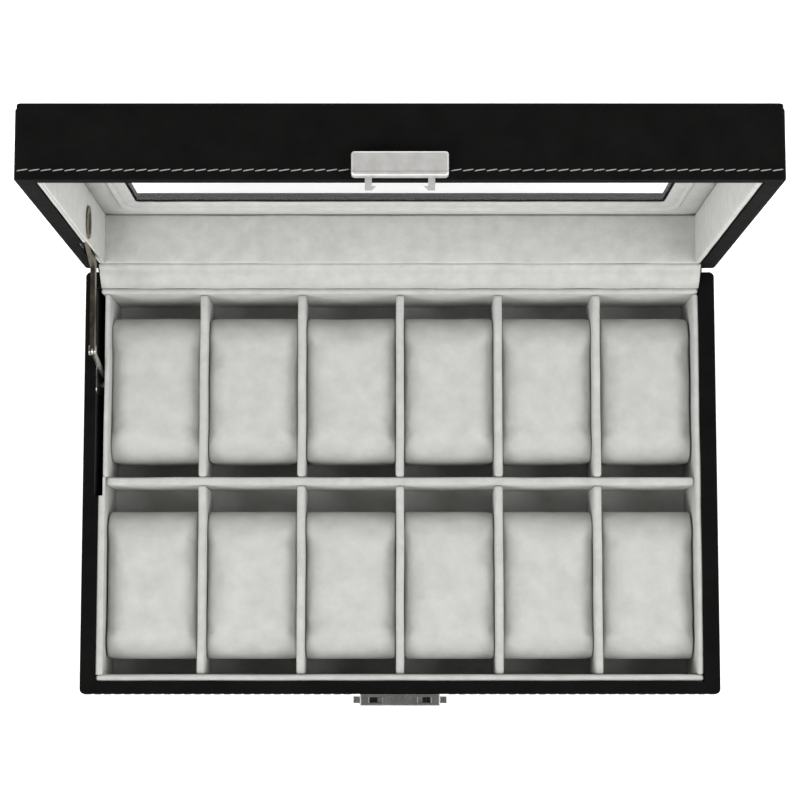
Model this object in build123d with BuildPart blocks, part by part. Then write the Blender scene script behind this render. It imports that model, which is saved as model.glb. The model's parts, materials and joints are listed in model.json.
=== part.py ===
from build123d import *
from math import atan2, degrees
import os

# Watch box: a leather covered case with a hinged glass lid, twelve cushions,
# a side stay and a two button lock.  Millimetres, +Z up, front towards -Y.
# The origin is the centre of the underside.  The lid stands open at 90 degrees.

os.makedirs("parts", exist_ok=True)

# Driving dimensions
BOX_X = 300.0
BOX_Y = 200.0
BASE_H = 49.0
LID_H = 30.5
RIM_GAP = 1.0
CORNER_R = 2.4
EDGE_R = 0.7

LEATHER = 0.8
SIDE_BOARD = 6.0
FRONT_BOARD = 4.5
TURN_IN = 0.7
TURN_DEPTH = 10.0
TURN_UNDER = 14.0
BOTTOM_BOARD = 4.0
FLOOR_CARD = 1.6
LINER = 3.0
LINER_DROP = 0.6
BACK_LINER = 2.4
EYELET_R = 3.2

DIVIDER = 3.8
DIVIDER_TOP = 46.0
DIVIDER_PITCH = 46.8
CROSS_DIVIDERS = 5
LAP_CLEAR = 0.1

CUSHION_X = 42.0
CUSHION_Y = 70.0
CUSHION_H = 37.0
CUSHION_R = 11.0
CUSHION_END_R = 4.0
CUSHION_LIFT = 0.1
CUSHION_SHIFT = {"front": -2.2, "back": -0.9}

# Lid stack, measured up from the lid's rim
PANEL_T = 2.0
GLASS_T = 1.8
CARD_T = 1.2
WALL_TOP = LID_H - PANEL_T
CARD_Z = 24.2
FRAME_Z = CARD_Z + CARD_T
GLASS_DROP = 0.1
BEZEL_TOP = WALL_TOP - GLASS_T - 2 * GLASS_DROP
WINDOW_X = 244.0
WINDOW_Y = 140.0
GLASS_LAP = 3.5
BEZEL_LAP = 1.0
BEZEL_FLARE = 5.0

# Lid stay: pivots in the Y, Z plane with the lid open, from a four bar layout
BASE_PIVOT = (48.8, 23.9)
LID_PIVOT = (108.1, 104.0)
ELBOW = (58.4, 76.5)
CRANK = (98.0, 78.0)
STAY_OUT = -144.6
STAY_IN = -140.6
SLOT_FRONT = -7.0
SLOT_Z = 18.0
ARM_X = -142.4
ARM_T = 2.2
ARM_WALL = 0.45
ARM_W = 5.0
LINK_T = 0.9
LINK_W = 3.8
PLATE_T = 0.5
PIN_R = 1.0
PIN_CLEAR = 0.05
BRACKET_R = 3.0
BASE_BRACKET_W = 14.0
LID_BRACKET_W = 10.6
LID_BRACKET_H = 16.0
LID_BRACKET_SHIFT = 0.6
PLATE_FRONT = (109.4, 119.0)
PLATE_BACK = (111.4, 119.0)
PLATE_SLOT = (107.9, 119.0)
PLATE_W = 13.0
PLATE_SLOT_W = 6.6
FACE_PLATE_T = 0.9
FACE_PLATE_R = 0.4
ELBOW_R = 0.9
ELBOW_PLAY = 0.8

# Lock on the front wall
LOCK_X = 37.6
LOCK_Y = 5.6
LOCK_Z = 14.0
LOCK_TOP = 49.6
LOCK_WALL = 0.7
LOCK_EDGE_R = 0.6
HOOK_IN = 10.9
HOOK_W = 2.7
HOOK_T = 1.4
HOOK_LEN = 5.4
BARB = 1.6
HOOK_BACK = 3.4
HASP_LOW = 0.6
HASP_H = 9.6
HASP_OUT = 5.0

# Derived places
SIDE_RIM = LEATHER + SIDE_BOARD + TURN_IN
FRONT_RIM = LEATHER + FRONT_BOARD + TURN_IN
AXIS_Y = BOX_Y / 2 + 0.9
AXIS_Z = BASE_H + RIM_GAP / 2
BOARD_X = BOX_X / 2 - LEATHER
BOARD_Y = BOX_Y / 2 - LEATHER
WELL_X = BOX_X / 2 - SIDE_RIM
WELL_FRONT = -BOX_Y / 2 + FRONT_RIM
WELL_BACK = BOX_Y / 2 - SIDE_RIM
ROOM_X = WELL_X - LINER
ROOM_FRONT = WELL_FRONT + LINER
ROOM_BACK = WELL_BACK - LINER
FLOOR_Z = LEATHER + BOTTOM_BOARD + FLOOR_CARD
BACK_LINER_IN = STAY_IN + BACK_LINER
LID = Plane(
    origin=(0, AXIS_Y + RIM_GAP / 2, AXIS_Z + AXIS_Y),
    x_dir=(1, 0, 0),
    z_dir=(0, 1, 0),
)


def save(piece, label):
    """Label a finished piece and write its STEP file."""
    piece.part.label = label
    export_step(piece.part, f"parts/{label}.step")


def block(x, y, z, mode=Mode.ADD, plane=Plane.XY):
    """Extrude a rectangle given by its low and high x, y and z on a plane."""
    with BuildSketch(plane.offset(z[0])) as outline:
        with Locations(((x[0] + x[1]) / 2, (y[0] + y[1]) / 2)):
            Rectangle(x[1] - x[0], y[1] - y[0])
    extrude(outline.sketch, amount=z[1] - z[0], mode=mode)


def slab(label, x, y, z, plane=Plane.XY):
    """A plain board as a node of its own."""
    with BuildPart() as board:
        block(x, y, z, plane=plane)
    save(board, label)


def bar(a, b, width, x_low, x_high, mode=Mode.ADD):
    """A flat bar with round ends between two points of the Y, Z plane."""
    start = Vector(*a)
    along = Vector(*b) - start
    with BuildSketch(Plane.YZ.offset(x_low)) as outline:
        with Locations(start + along / 2):
            SlotCenterToCenter(along.length, width, rotation=degrees(atan2(along.Y, along.X)))
    extrude(outline.sketch, amount=x_high - x_low, mode=mode)


def disc(centre, radius, x_low, x_high, mode=Mode.ADD):
    """A disc across X, centred on a point of the Y, Z plane."""
    with BuildSketch(Plane.YZ.offset(x_low)) as outline:
        with Locations(centre):
            Circle(radius)
    extrude(outline.sketch, amount=x_high - x_low, mode=mode)


def spread(half):
    """The span from minus half to plus half."""
    return (-half, half)


# ---- Base: boards, leather, felt ----
BOARD_Z = (LEATHER, BASE_H - LEATHER)
SIDE_SPAN = (-BOARD_Y + FRONT_BOARD, BOARD_Y - SIDE_BOARD)
SLOT_Z_SPAN = (SLOT_Z, BASE_H)
TURN_Z = BASE_H - TURN_DEPTH

slab("base_board_front", spread(BOARD_X), (-BOARD_Y, SIDE_SPAN[0]), BOARD_Z)
slab("base_board_back", spread(BOARD_X), (SIDE_SPAN[1], BOARD_Y), BOARD_Z)
slab("base_board_right", (BOARD_X - SIDE_BOARD, BOARD_X), SIDE_SPAN, BOARD_Z)
slab("base_board_bottom", spread(BOARD_X - SIDE_BOARD), SIDE_SPAN, (LEATHER, LEATHER + BOTTOM_BOARD))

with BuildPart() as base_board_left:
    block((-BOARD_X, -BOARD_X + SIDE_BOARD), SIDE_SPAN, BOARD_Z)
    block((STAY_OUT, -WELL_X), (SLOT_FRONT, WELL_BACK), SLOT_Z_SPAN, Mode.SUBTRACT)
save(base_board_left, "base_board_left")

with BuildPart() as base_leather:
    with BuildSketch():
        RectangleRounded(BOX_X, BOX_Y, CORNER_R)
    extrude(amount=BASE_H)
    fillet(base_leather.faces().filter_by(Axis.Z).edges(), EDGE_R)
    block(spread(WELL_X), (WELL_FRONT, WELL_BACK), (TURN_Z, BASE_H), Mode.SUBTRACT)
    block(spread(BOARD_X), spread(BOARD_Y), (LEATHER, TURN_Z), Mode.SUBTRACT)
    with BuildSketch(Plane.XY.offset(TURN_Z)):
        Rectangle(2 * BOARD_X, 2 * BOARD_Y)
        with Locations((0, (WELL_FRONT + WELL_BACK) / 2)):
            Rectangle(
                2 * (WELL_X + TURN_IN),
                WELL_BACK - WELL_FRONT + 2 * TURN_IN,
                mode=Mode.SUBTRACT,
            )
    extrude(amount=TURN_DEPTH - LEATHER, mode=Mode.SUBTRACT)
    block(spread(BOARD_X - TURN_UNDER), spread(BOARD_Y - TURN_UNDER), (0, LEATHER), Mode.SUBTRACT)
    block((STAY_OUT, -WELL_X), (SLOT_FRONT, WELL_BACK), SLOT_Z_SPAN, Mode.SUBTRACT)
save(base_leather, "base_leather")

FELT_GAP = 0.2
slab(
    "base_felt",
    spread(BOARD_X - TURN_UNDER - FELT_GAP),
    spread(BOARD_Y - TURN_UNDER - FELT_GAP),
    (0, LEATHER),
)

# ---- Base: velvet covered liner cards ----
LINER_BOTTOM = LEATHER + BOTTOM_BOARD
LINER_Z = (LINER_BOTTOM, BASE_H - LINER_DROP)
SPLIT_Y = DIVIDER / 2

slab("base_liner_front", spread(WELL_X), (WELL_FRONT, ROOM_FRONT), LINER_Z)
slab("base_liner_back", spread(WELL_X), (ROOM_BACK, WELL_BACK), LINER_Z)
slab("base_liner_right", (ROOM_X, WELL_X), (ROOM_FRONT, ROOM_BACK), LINER_Z)
slab("base_liner_left_back", (STAY_IN, BACK_LINER_IN), (SPLIT_Y, ROOM_BACK), LINER_Z)

with BuildPart() as base_liner_floor:
    block(spread(ROOM_X), (ROOM_FRONT, ROOM_BACK), (LINER_BOTTOM, FLOOR_Z))
    block((-ROOM_X, BACK_LINER_IN), (SPLIT_Y, ROOM_BACK), (LINER_BOTTOM, FLOOR_Z), Mode.SUBTRACT)
save(base_liner_floor, "base_liner_floor")

with BuildPart() as base_liner_left_front:
    block((-WELL_X, -ROOM_X), (ROOM_FRONT, SPLIT_Y), LINER_Z)
    block((-WELL_X, STAY_IN), (SLOT_FRONT, SPLIT_Y), SLOT_Z_SPAN, Mode.SUBTRACT)
save(base_liner_left_front, "base_liner_left_front")

# ---- Dividers, half lapped where they cross ----
DIVIDER_Z = (FLOOR_Z, DIVIDER_TOP)
LAP_Z = (FLOOR_Z + DIVIDER_TOP) / 2
LAP_HALF = DIVIDER / 2 + LAP_CLEAR
CROSS_X = [DIVIDER_PITCH * (i - (CROSS_DIVIDERS - 1) / 2) for i in range(CROSS_DIVIDERS)]

with BuildPart() as divider_long:
    block(spread(ROOM_X), spread(DIVIDER / 2), DIVIDER_Z)
    for x in CROSS_X:
        block((x - LAP_HALF, x + LAP_HALF), spread(DIVIDER / 2), (FLOOR_Z, LAP_Z), Mode.SUBTRACT)
save(divider_long, "divider_long")

for number, x in enumerate(CROSS_X, 1):
    with BuildPart() as divider_cross:
        block((x - DIVIDER / 2, x + DIVIDER / 2), (ROOM_FRONT, ROOM_BACK), DIVIDER_Z)
        block((x - DIVIDER / 2, x + DIVIDER / 2), spread(LAP_HALF), (LAP_Z, DIVIDER_TOP), Mode.SUBTRACT)
    save(divider_cross, f"divider_cross_{number}")

# ---- Cushions: one pillow in each of the twelve compartments ----
ROWS = {"front": (ROOM_FRONT, -DIVIDER / 2), "back": (DIVIDER / 2, ROOM_BACK)}


def compartment(column, row):
    """The low and high x of a compartment, counted from the left."""
    left = -ROOM_X
    if row == "back":
        left = BACK_LINER_IN
    edges = [left] + CROSS_X + [ROOM_X]
    low = edges[column] + (DIVIDER / 2 if column > 0 else 0)
    high = edges[column + 1] - (DIVIDER / 2 if column < CROSS_DIVIDERS else 0)
    return low, high


for row, (y_low, y_high) in ROWS.items():
    for column in range(CROSS_DIVIDERS + 1):
        x_low, x_high = compartment(column, row)
        centre_y = (y_low + y_high) / 2 + CUSHION_SHIFT[row]
        with BuildPart() as cushion:
            with BuildSketch(Plane.YZ.offset((x_low + x_high - CUSHION_X) / 2)):
                with Locations((centre_y, FLOOR_Z + CUSHION_LIFT + CUSHION_H / 2)):
                    RectangleRounded(CUSHION_Y, CUSHION_H, CUSHION_R)
            extrude(amount=CUSHION_X)
            fillet(cushion.faces().filter_by(Axis.X).edges(), CUSHION_END_R)
        save(cushion, f"cushion_{row}_{column + 1}")

# ---- Lid: boards, leather, glass ----
LID_BOARD_Z = (LEATHER, WALL_TOP - LEATHER)
LID_SLOT_Y = (36.0, 72.0)
LID_SLOT_Z = (0.0, 12.0)

slab("lid_board_front", spread(BOARD_X), (-BOARD_Y, SIDE_SPAN[0]), LID_BOARD_Z, LID)
slab("lid_board_back", spread(BOARD_X), (SIDE_SPAN[1], BOARD_Y), LID_BOARD_Z, LID)
slab("lid_board_right", (BOARD_X - SIDE_BOARD, BOARD_X), SIDE_SPAN, LID_BOARD_Z, LID)

with BuildPart() as lid_board_left:
    block((-BOARD_X, -BOARD_X + SIDE_BOARD), SIDE_SPAN, LID_BOARD_Z, plane=LID)
    block((STAY_OUT, -WELL_X), LID_SLOT_Y, LID_SLOT_Z, Mode.SUBTRACT, LID)
save(lid_board_left, "lid_board_left")

with BuildPart() as lid_leather:
    with BuildSketch(LID):
        RectangleRounded(BOX_X, BOX_Y, CORNER_R)
    extrude(amount=WALL_TOP)
    fillet(lid_leather.faces().filter_by(Axis.Y).edges(), EDGE_R)
    block(spread(WELL_X), (WELL_FRONT, WELL_BACK), (0, TURN_DEPTH), Mode.SUBTRACT, LID)
    with BuildSketch(LID.offset(LEATHER)):
        Rectangle(2 * BOARD_X, 2 * BOARD_Y)
        with Locations((0, (WELL_FRONT + WELL_BACK) / 2)):
            Rectangle(
                2 * (WELL_X + TURN_IN),
                WELL_BACK - WELL_FRONT + 2 * TURN_IN,
                mode=Mode.SUBTRACT,
            )
    extrude(amount=TURN_DEPTH - LEATHER, mode=Mode.SUBTRACT)
    block(spread(BOARD_X), spread(BOARD_Y), (TURN_DEPTH, WALL_TOP - LEATHER), Mode.SUBTRACT, LID)
    block(
        spread(BOARD_X - TURN_UNDER),
        spread(BOARD_Y - TURN_UNDER),
        (WALL_TOP - LEATHER, WALL_TOP),
        Mode.SUBTRACT,
        LID,
    )
    block((STAY_OUT, -WELL_X), LID_SLOT_Y, LID_SLOT_Z, Mode.SUBTRACT, LID)
save(lid_leather, "lid_leather")

GLASS_HALF_X = WINDOW_X / 2 + GLASS_LAP
GLASS_HALF_Y = WINDOW_Y / 2 + GLASS_LAP
GLASS_FIT = 0.4
FRAME_IN_X = GLASS_HALF_X + GLASS_FIT
FRAME_IN_Y = GLASS_HALF_Y + GLASS_FIT

with BuildPart() as lid_top_frame:
    block(spread(BOARD_X - SIDE_BOARD), SIDE_SPAN, (FRAME_Z, WALL_TOP - LEATHER), plane=LID)
    block(
        spread(BOARD_X - TURN_UNDER - FELT_GAP),
        spread(BOARD_Y - TURN_UNDER - FELT_GAP),
        (WALL_TOP - LEATHER, WALL_TOP),
        plane=LID,
    )
    block(spread(FRAME_IN_X), spread(FRAME_IN_Y), (FRAME_Z, WALL_TOP), Mode.SUBTRACT, LID)
save(lid_top_frame, "lid_top_frame")

PANEL_INSET = 0.4
PANEL_EDGE_R = 0.6
with BuildPart() as lid_top_panel:
    with BuildSketch(LID.offset(WALL_TOP)):
        RectangleRounded(BOX_X - 2 * PANEL_INSET, BOX_Y - 2 * PANEL_INSET, CORNER_R)
        Rectangle(WINDOW_X, WINDOW_Y, mode=Mode.SUBTRACT)
    extrude(amount=PANEL_T)
    fillet(lid_top_panel.faces().sort_by(Axis.Y)[-1].edges(), PANEL_EDGE_R)
save(lid_top_panel, "lid_top_panel")

slab(
    "glass_pane",
    spread(GLASS_HALF_X),
    spread(GLASS_HALF_Y),
    (WALL_TOP - GLASS_T - GLASS_DROP, WALL_TOP - GLASS_DROP),
    LID,
)

# ---- Lid: velvet covered liner cards ----
LID_LINER_Z = (LINER_DROP, CARD_Z)

slab("lid_liner_front", spread(WELL_X), (WELL_FRONT, ROOM_FRONT), LID_LINER_Z, LID)
slab("lid_liner_back", spread(WELL_X), (ROOM_BACK, WELL_BACK), LID_LINER_Z, LID)
slab("lid_liner_right", (ROOM_X, WELL_X), (ROOM_FRONT, ROOM_BACK), LID_LINER_Z, LID)

with BuildPart() as lid_liner_left:
    block((-WELL_X, -ROOM_X), (ROOM_FRONT, ROOM_BACK), LID_LINER_Z, plane=LID)
    block((-WELL_X, STAY_IN), LID_SLOT_Y, LID_SLOT_Z, Mode.SUBTRACT, LID)
    disc(LID_PIVOT, EYELET_R, STAY_IN, -ROOM_X, Mode.SUBTRACT)
save(lid_liner_left, "lid_liner_left")

BEZEL_IN_X = WINDOW_X / 2 + BEZEL_LAP
BEZEL_IN_Y = WINDOW_Y / 2 + BEZEL_LAP
with BuildPart() as window_bezel:
    block(spread(WELL_X), (WELL_FRONT, WELL_BACK), (CARD_Z, FRAME_Z), plane=LID)
    block(spread(GLASS_HALF_X), spread(GLASS_HALF_Y), (FRAME_Z, BEZEL_TOP), plane=LID)
    with BuildSketch(LID.offset(CARD_Z)):
        Rectangle(2 * (BEZEL_IN_X + BEZEL_FLARE), 2 * (BEZEL_IN_Y + BEZEL_FLARE))
    with BuildSketch(LID.offset(BEZEL_TOP)):
        Rectangle(2 * BEZEL_IN_X, 2 * BEZEL_IN_Y)
    loft(mode=Mode.SUBTRACT)
save(window_bezel, "window_bezel")

# ---- Hinge: a leather spine outside and a velvet strip inside ----
SPINE_T = 0.5
SPINE_LAP = 12.0
SPINE_X = BOX_X / 2 - 6.0
LID_BACK_Z = AXIS_Z + AXIS_Y - BOX_Y / 2
BEND_R = 1.0

with BuildPart() as hinge_spine:
    with BuildSketch(Plane.YZ.offset(-SPINE_X)):
        with BuildLine():
            start = (BOX_Y / 2, BASE_H - SPINE_LAP)
            corner = (BOX_Y / 2, LID_BACK_Z)
            end = (AXIS_Y + SPINE_LAP, LID_BACK_Z)
            run = FilletPolyline(start, corner, end, radius=BEND_R)
            offset(run, amount=-SPINE_T, side=Side.RIGHT)
        make_face()
    extrude(amount=2 * SPINE_X)
save(hinge_spine, "hinge_spine")

LINING_T = 0.4
with BuildPart() as hinge_lining:
    with BuildSketch(Plane.YZ.offset(-ROOM_X)):
        with BuildLine():
            low = Vector(WELL_BACK, BASE_H + 0.1)
            high = Vector(BOX_Y / 2 + 1.3, AXIS_Z + AXIS_Y - WELL_BACK)
            across = Vector(-LINING_T, LINING_T).normalized() * LINING_T
            Polyline(low, high, high + across, low + across, close=True)
        make_face()
    extrude(amount=2 * ROOM_X)
save(hinge_lining, "hinge_lining")

# ---- Lid stay: two brackets, a channel arm, a link and the elbow rivet ----
PLATE_IN = STAY_OUT + PLATE_T
ARM_SPAN = (ARM_X - ARM_T / 2, ARM_X + ARM_T / 2)
LINK_SPAN = (ARM_X - LINK_T / 2, ARM_X + LINK_T / 2)
CHANNEL_SPAN = (ARM_SPAN[0] + ARM_WALL, ARM_SPAN[1] - ARM_WALL)
HOLE_R = PIN_R + PIN_CLEAR
COLLAR_R = 2.0
HEAD_R = 1.8
HEAD_T = 0.4
SIDE_PLAY = 0.1


def stud(pivot, inner_face, outer_face):
    """A collar, a pin and its head, for a bar that lies between two faces in x."""
    disc(pivot, COLLAR_R, PLATE_IN, outer_face - SIDE_PLAY)
    disc(pivot, PIN_R, PLATE_IN, inner_face + SIDE_PLAY)
    disc(pivot, HEAD_R, inner_face + SIDE_PLAY, inner_face + SIDE_PLAY + HEAD_T)


with BuildPart() as stay_base_bracket:
    with BuildSketch(Plane.YZ.offset(STAY_OUT)):
        with Locations((BASE_PIVOT[0], (SLOT_Z + BASE_H) / 2)):
            RectangleRounded(BASE_BRACKET_W, BASE_H - SLOT_Z - 1.0, BRACKET_R)
    extrude(amount=PLATE_T)
    stud(BASE_PIVOT, LINK_SPAN[1], LINK_SPAN[0])
save(stay_base_bracket, "stay_base_bracket")

with BuildPart() as stay_lid_bracket:
    with BuildSketch(Plane.YZ.offset(STAY_OUT)):
        with Locations((LID_PIVOT[0] - LID_BRACKET_SHIFT, LID_PIVOT[1])):
            RectangleRounded(LID_BRACKET_W, LID_BRACKET_H, BRACKET_R)
    extrude(amount=PLATE_T)
    stud(LID_PIVOT, ARM_SPAN[1], ARM_SPAN[0])
save(stay_lid_bracket, "stay_lid_bracket")

with BuildPart() as stay_lid_plate:
    bar(PLATE_FRONT, PLATE_BACK, PLATE_W, -ROOM_X, -ROOM_X + FACE_PLATE_T)
    fillet(stay_lid_plate.faces().sort_by(Axis.X)[-1].edges(), FACE_PLATE_R)
    bar(PLATE_SLOT, PLATE_BACK, PLATE_SLOT_W, -ROOM_X, -ROOM_X + FACE_PLATE_T, Mode.SUBTRACT)
save(stay_lid_plate, "stay_lid_plate")

with BuildPart() as stay_arm:
    for start, end in ((LID_PIVOT, CRANK), (CRANK, ELBOW)):
        bar(start, end, ARM_W, *ARM_SPAN)
    hollow = ARM_W - 2 * ARM_WALL
    for drop in (0, hollow / 2):
        for start, end in ((LID_PIVOT, CRANK), (CRANK, ELBOW)):
            low_start = (start[0] + drop, start[1] - drop)
            low_end = (end[0] + drop, end[1] - drop)
            bar(low_start, low_end, hollow, *CHANNEL_SPAN, mode=Mode.SUBTRACT)
    bar(ELBOW, BASE_PIVOT, hollow, *CHANNEL_SPAN, mode=Mode.SUBTRACT)
    disc(ELBOW, LINK_W / 2 + ELBOW_PLAY + SIDE_PLAY, *CHANNEL_SPAN, mode=Mode.SUBTRACT)
    disc(LID_PIVOT, HOLE_R, *ARM_SPAN, mode=Mode.SUBTRACT)
    disc(ELBOW, ELBOW_R + ELBOW_PLAY, *ARM_SPAN, mode=Mode.SUBTRACT)
save(stay_arm, "stay_arm")

with BuildPart() as stay_link:
    bar(BASE_PIVOT, ELBOW, LINK_W, *LINK_SPAN)
    disc(BASE_PIVOT, HOLE_R, *LINK_SPAN, mode=Mode.SUBTRACT)
    disc(ELBOW, ELBOW_R, *LINK_SPAN, mode=Mode.SUBTRACT)
save(stay_link, "stay_link")

RIVET_HEAD_R = 2.4
RIVET_HEAD_T = 0.3
RIVET_HALF = ARM_T / 2 + SIDE_PLAY
with BuildPart() as stay_elbow_rivet:
    disc(ELBOW, ELBOW_R, ARM_X - RIVET_HALF, ARM_X + RIVET_HALF)
    disc(ELBOW, RIVET_HEAD_R, ARM_X - RIVET_HALF - RIVET_HEAD_T, ARM_X - RIVET_HALF)
    disc(ELBOW, RIVET_HEAD_R, ARM_X + RIVET_HALF, ARM_X + RIVET_HALF + RIVET_HEAD_T)
save(stay_elbow_rivet, "stay_elbow_rivet")

# ---- Lock: a housing with two sprung buttons, and the hasp with two hooks ----
FACE_Y = -BOX_Y / 2
LOCK_LOW = LOCK_TOP - LOCK_Z
ROOM_Y = (FACE_Y - LOCK_Y + LOCK_WALL, FACE_Y - 0.5)
ROOM_Z = (LOCK_LOW + LOCK_WALL, LOCK_TOP - LOCK_WALL)
LOCK_IN_X = LOCK_X / 2 - LOCK_WALL
SLOT_X = (8.5, 14.3)
SLOT_Y = (FACE_Y - 4.1, FACE_Y - 1.3)
PAD_Y = (FACE_Y - 4.3, FACE_Y - 1.1)
PAD_Z = (44.9, 48.5)
PAD_FIT = 0.2
RIB_X = 1.5
LOCK_CHAMFER = 0.6
SLOT_CHAMFER = 0.45
SCREW_X = 5.5
SCREW_Z = 40.5
SIDES = {"left": -1, "right": 1}


def on_side(side, near, far):
    """The x span that lies between two distances from the middle, on one side."""
    return sorted((side * near, side * far))


def cut_edge(x, size, y_span):
    """Cuts a 45 degree flat on a top edge that runs front to back at x, leaning towards x + size."""
    with BuildSketch(Plane((0, y_span[0], 0), x_dir=(1, 0, 0), z_dir=(0, -1, 0))) as profile:
        with BuildLine():
            Polyline((x, LOCK_TOP - abs(size)), (x, LOCK_TOP), (x + size, LOCK_TOP), close=True)
        make_face()
    extrude(profile.sketch, amount=y_span[0] - y_span[1], mode=Mode.SUBTRACT)


with BuildPart() as lock_housing:
    block(spread(LOCK_X / 2), (FACE_Y - LOCK_Y, FACE_Y), (LOCK_LOW, LOCK_TOP))
    fillet(lock_housing.faces().sort_by(Axis.Y)[0].edges(), LOCK_EDGE_R)
    for side in SIDES.values():
        cut_edge(side * LOCK_X / 2, -side * LOCK_CHAMFER, (FACE_Y - LOCK_Y, FACE_Y))
    block(spread(LOCK_IN_X), ROOM_Y, ROOM_Z, Mode.SUBTRACT)
    block(spread(RIB_X), ROOM_Y, ROOM_Z)
    for side in SIDES.values():
        block(on_side(side, *SLOT_X), SLOT_Y, (ROOM_Z[1], LOCK_TOP), Mode.SUBTRACT)
        block(
            on_side(side, LOCK_IN_X, LOCK_X / 2),
            (PAD_Y[0] - PAD_FIT, PAD_Y[1] + PAD_FIT),
            (PAD_Z[0] - PAD_FIT, PAD_Z[1] + PAD_FIT),
            Mode.SUBTRACT,
        )
        cut_edge(side * SLOT_X[0], -side * SLOT_CHAMFER, SLOT_Y)
        cut_edge(side * SLOT_X[1], side * SLOT_CHAMFER, SLOT_Y)
save(lock_housing, "lock_housing")

SLIDE_Y = (ROOM_Y[0] + PAD_FIT, ROOM_Y[1] - PAD_FIT)
SLIDE_TOP = ROOM_Z[1] - PAD_FIT
CATCH_Z = 47.0
SLIDE_X = (6.8, LOCK_IN_X - 0.1)
WINDOW_SPAN = (10.5, 16.0)
WINDOW_DEPTH = (FACE_Y - 4.0, FACE_Y - 1.4)
FOOT_IN = 1.4
PAD_OUT = 21.8
GROOVE_W = 0.35
GROOVE_D = 0.25
GROOVES = (21.3, 20.6, 19.9)

for name, side in SIDES.items():
    with BuildPart() as lock_button:
        block(on_side(side, *SLIDE_X), SLIDE_Y, (CATCH_Z, SLIDE_TOP))
        block(on_side(side, *WINDOW_SPAN), WINDOW_DEPTH, (CATCH_Z, SLIDE_TOP), Mode.SUBTRACT)
        block(on_side(side, SLIDE_X[0], SLIDE_X[0] + FOOT_IN), SLIDE_Y, (PAD_Z[0], SLIDE_TOP))
        block(on_side(side, WINDOW_SPAN[1] + 0.4, SLIDE_X[1]), SLIDE_Y, (PAD_Z[0], SLIDE_TOP))
        block(on_side(side, SLIDE_X[1], PAD_OUT), PAD_Y, PAD_Z)
        for groove_x in GROOVES:
            groove = on_side(side, groove_x - GROOVE_W, groove_x)
            block(groove, (PAD_Y[0], PAD_Y[0] + GROOVE_D), PAD_Z, Mode.SUBTRACT)
            block(groove, PAD_Y, (PAD_Z[1] - GROOVE_D, PAD_Z[1]), Mode.SUBTRACT)
    save(lock_button, f"lock_button_{name}")

SPRING_R = 1.1
SPRING_WIRE_R = 0.18
SPRING_TURNS = 5
SPRING_Z = 46.8
SPRING_Y = (ROOM_Y[0] + ROOM_Y[1]) / 2
SPRING_X = (RIB_X + SPRING_WIRE_R + PIN_CLEAR, SLIDE_X[0] - SPRING_WIRE_R - PIN_CLEAR)

for name, side in SIDES.items():
    length = SPRING_X[1] - SPRING_X[0]
    with BuildPart() as lock_spring:
        with BuildLine():
            coil = Helix(
                pitch=length / SPRING_TURNS,
                height=length,
                radius=SPRING_R,
                center=(side * SPRING_X[0], SPRING_Y, SPRING_Z),
                direction=(side, 0, 0),
            )
        with BuildSketch(coil ^ 0):
            Circle(SPRING_WIRE_R)
        sweep()
    save(lock_spring, f"lock_spring_{name}")

SCREW_R = 0.9
SCREW_HEAD_R = 1.7
SCREW_HEAD_T = 0.7
LOCK_SCREW_LEN = 5.0
HASP_SCREW_LEN = 8.0
UPWARDS = (Align.CENTER, Align.CENTER, Align.MIN)
with BuildPart() as lock_screws:
    for side in SIDES.values():
        with Locations(Plane((side * SCREW_X, ROOM_Y[1] - SCREW_HEAD_T, SCREW_Z), z_dir=(0, 1, 0))):
            Cylinder(SCREW_HEAD_R, SCREW_HEAD_T, align=UPWARDS)
            Cylinder(SCREW_R, LOCK_SCREW_LEN, align=UPWARDS)
save(lock_screws, "lock_screws")

HASP_X = 18.9
HASP_Z = (HASP_LOW, HASP_LOW + HASP_H)
HASP_WALL = 0.8
HASP_CORNER_R = 1.3
HASP_GROOVE_Y = (FACE_Y - HASP_OUT, FACE_Y - HASP_OUT + 0.4)
HASP_GROOVE_Z = (HASP_LOW + 1.5, HASP_LOW + 2.0)
HASP_MID = (HASP_Z[0] + HASP_Z[1]) / 2
BOSS_R = 2.2
HOOK_Y = (FACE_Y - HOOK_BACK, FACE_Y - HOOK_BACK + HOOK_T)
HOOK_END = HASP_LOW - HOOK_LEN

with BuildPart() as hasp_plate:
    block(spread(HASP_X), (FACE_Y - HASP_OUT, FACE_Y), HASP_Z, plane=LID)
    fillet(hasp_plate.edges().filter_by(Axis.Z), HASP_CORNER_R)
    fillet(hasp_plate.faces().sort_by(Axis.Z)[-1].edges(), EDGE_R)
    block(spread(HASP_X), HASP_GROOVE_Y, HASP_GROOVE_Z, Mode.SUBTRACT, LID)
    block(
        spread(HASP_X - HASP_WALL),
        (FACE_Y - HASP_OUT + HASP_WALL, FACE_Y),
        (HASP_Z[0] + HASP_WALL, HASP_Z[1] - HASP_WALL),
        Mode.SUBTRACT,
        LID,
    )
    for side in SIDES.values():
        block(on_side(side, HOOK_IN, HOOK_IN + HOOK_W), HOOK_Y, (HOOK_END, HASP_LOW), plane=LID)
        with BuildSketch(Plane((0, 0, LID.origin.Z - HOOK_Y[0]), x_dir=(1, 0, 0), z_dir=(0, 0, 1))):
            with BuildLine():
                tip_y = LID.origin.Y + HOOK_END
                Polyline(
                    (side * HOOK_IN, tip_y),
                    (side * HOOK_IN, tip_y + BARB),
                    (side * (HOOK_IN - BARB), tip_y + BARB),
                    close=True,
                )
            make_face()
        extrude(amount=-HOOK_T)
        foot = (side * SCREW_X, LID.origin.Y + HASP_MID, LID.origin.Z - FACE_Y)
        with Locations(Plane(foot, z_dir=(0, 0, 1))):
            Cylinder(BOSS_R, HASP_OUT - HASP_WALL, align=UPWARDS)
save(hasp_plate, "hasp_plate")

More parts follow.
